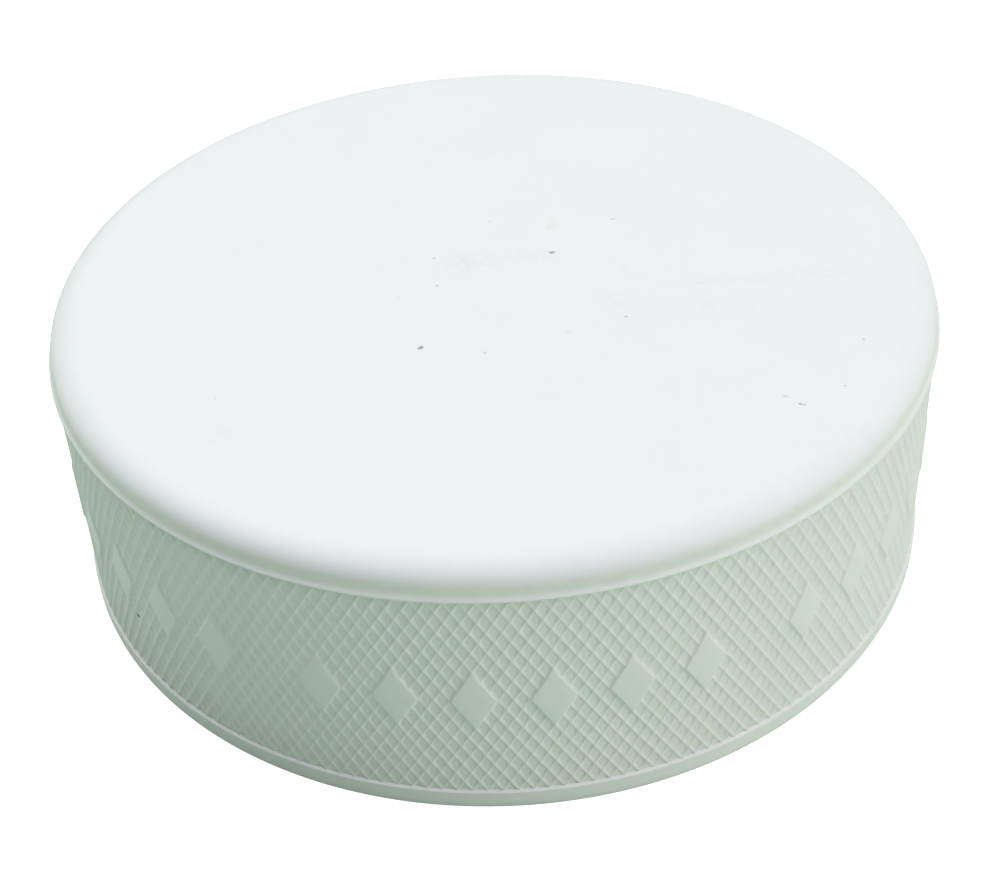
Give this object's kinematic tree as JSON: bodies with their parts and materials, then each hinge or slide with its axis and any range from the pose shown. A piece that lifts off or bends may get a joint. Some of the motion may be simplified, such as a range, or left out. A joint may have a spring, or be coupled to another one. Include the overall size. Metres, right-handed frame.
{
  "type": "hockey puck",
  "caption": "Solid white rubber ice hockey puck: a flat disc with rounded rims, and a side band of fine crossing ridges with raised lozenges.",
  "frame": {"origin": "middle of the flat face that the puck rests on", "axes": "+Z is the puck's axis, up from the resting face to the other flat face. X and Y are equal; -Y faces the middle of one group of raised marks"},
  "size_m": [0.0762, 0.0762, 0.0254],
  "materials": {
    "rubber": "matte moulded off-white rubber"
  },
  "bodies": {
    "root": {"puck_body": "rubber"}
  },
  "joints": []
}
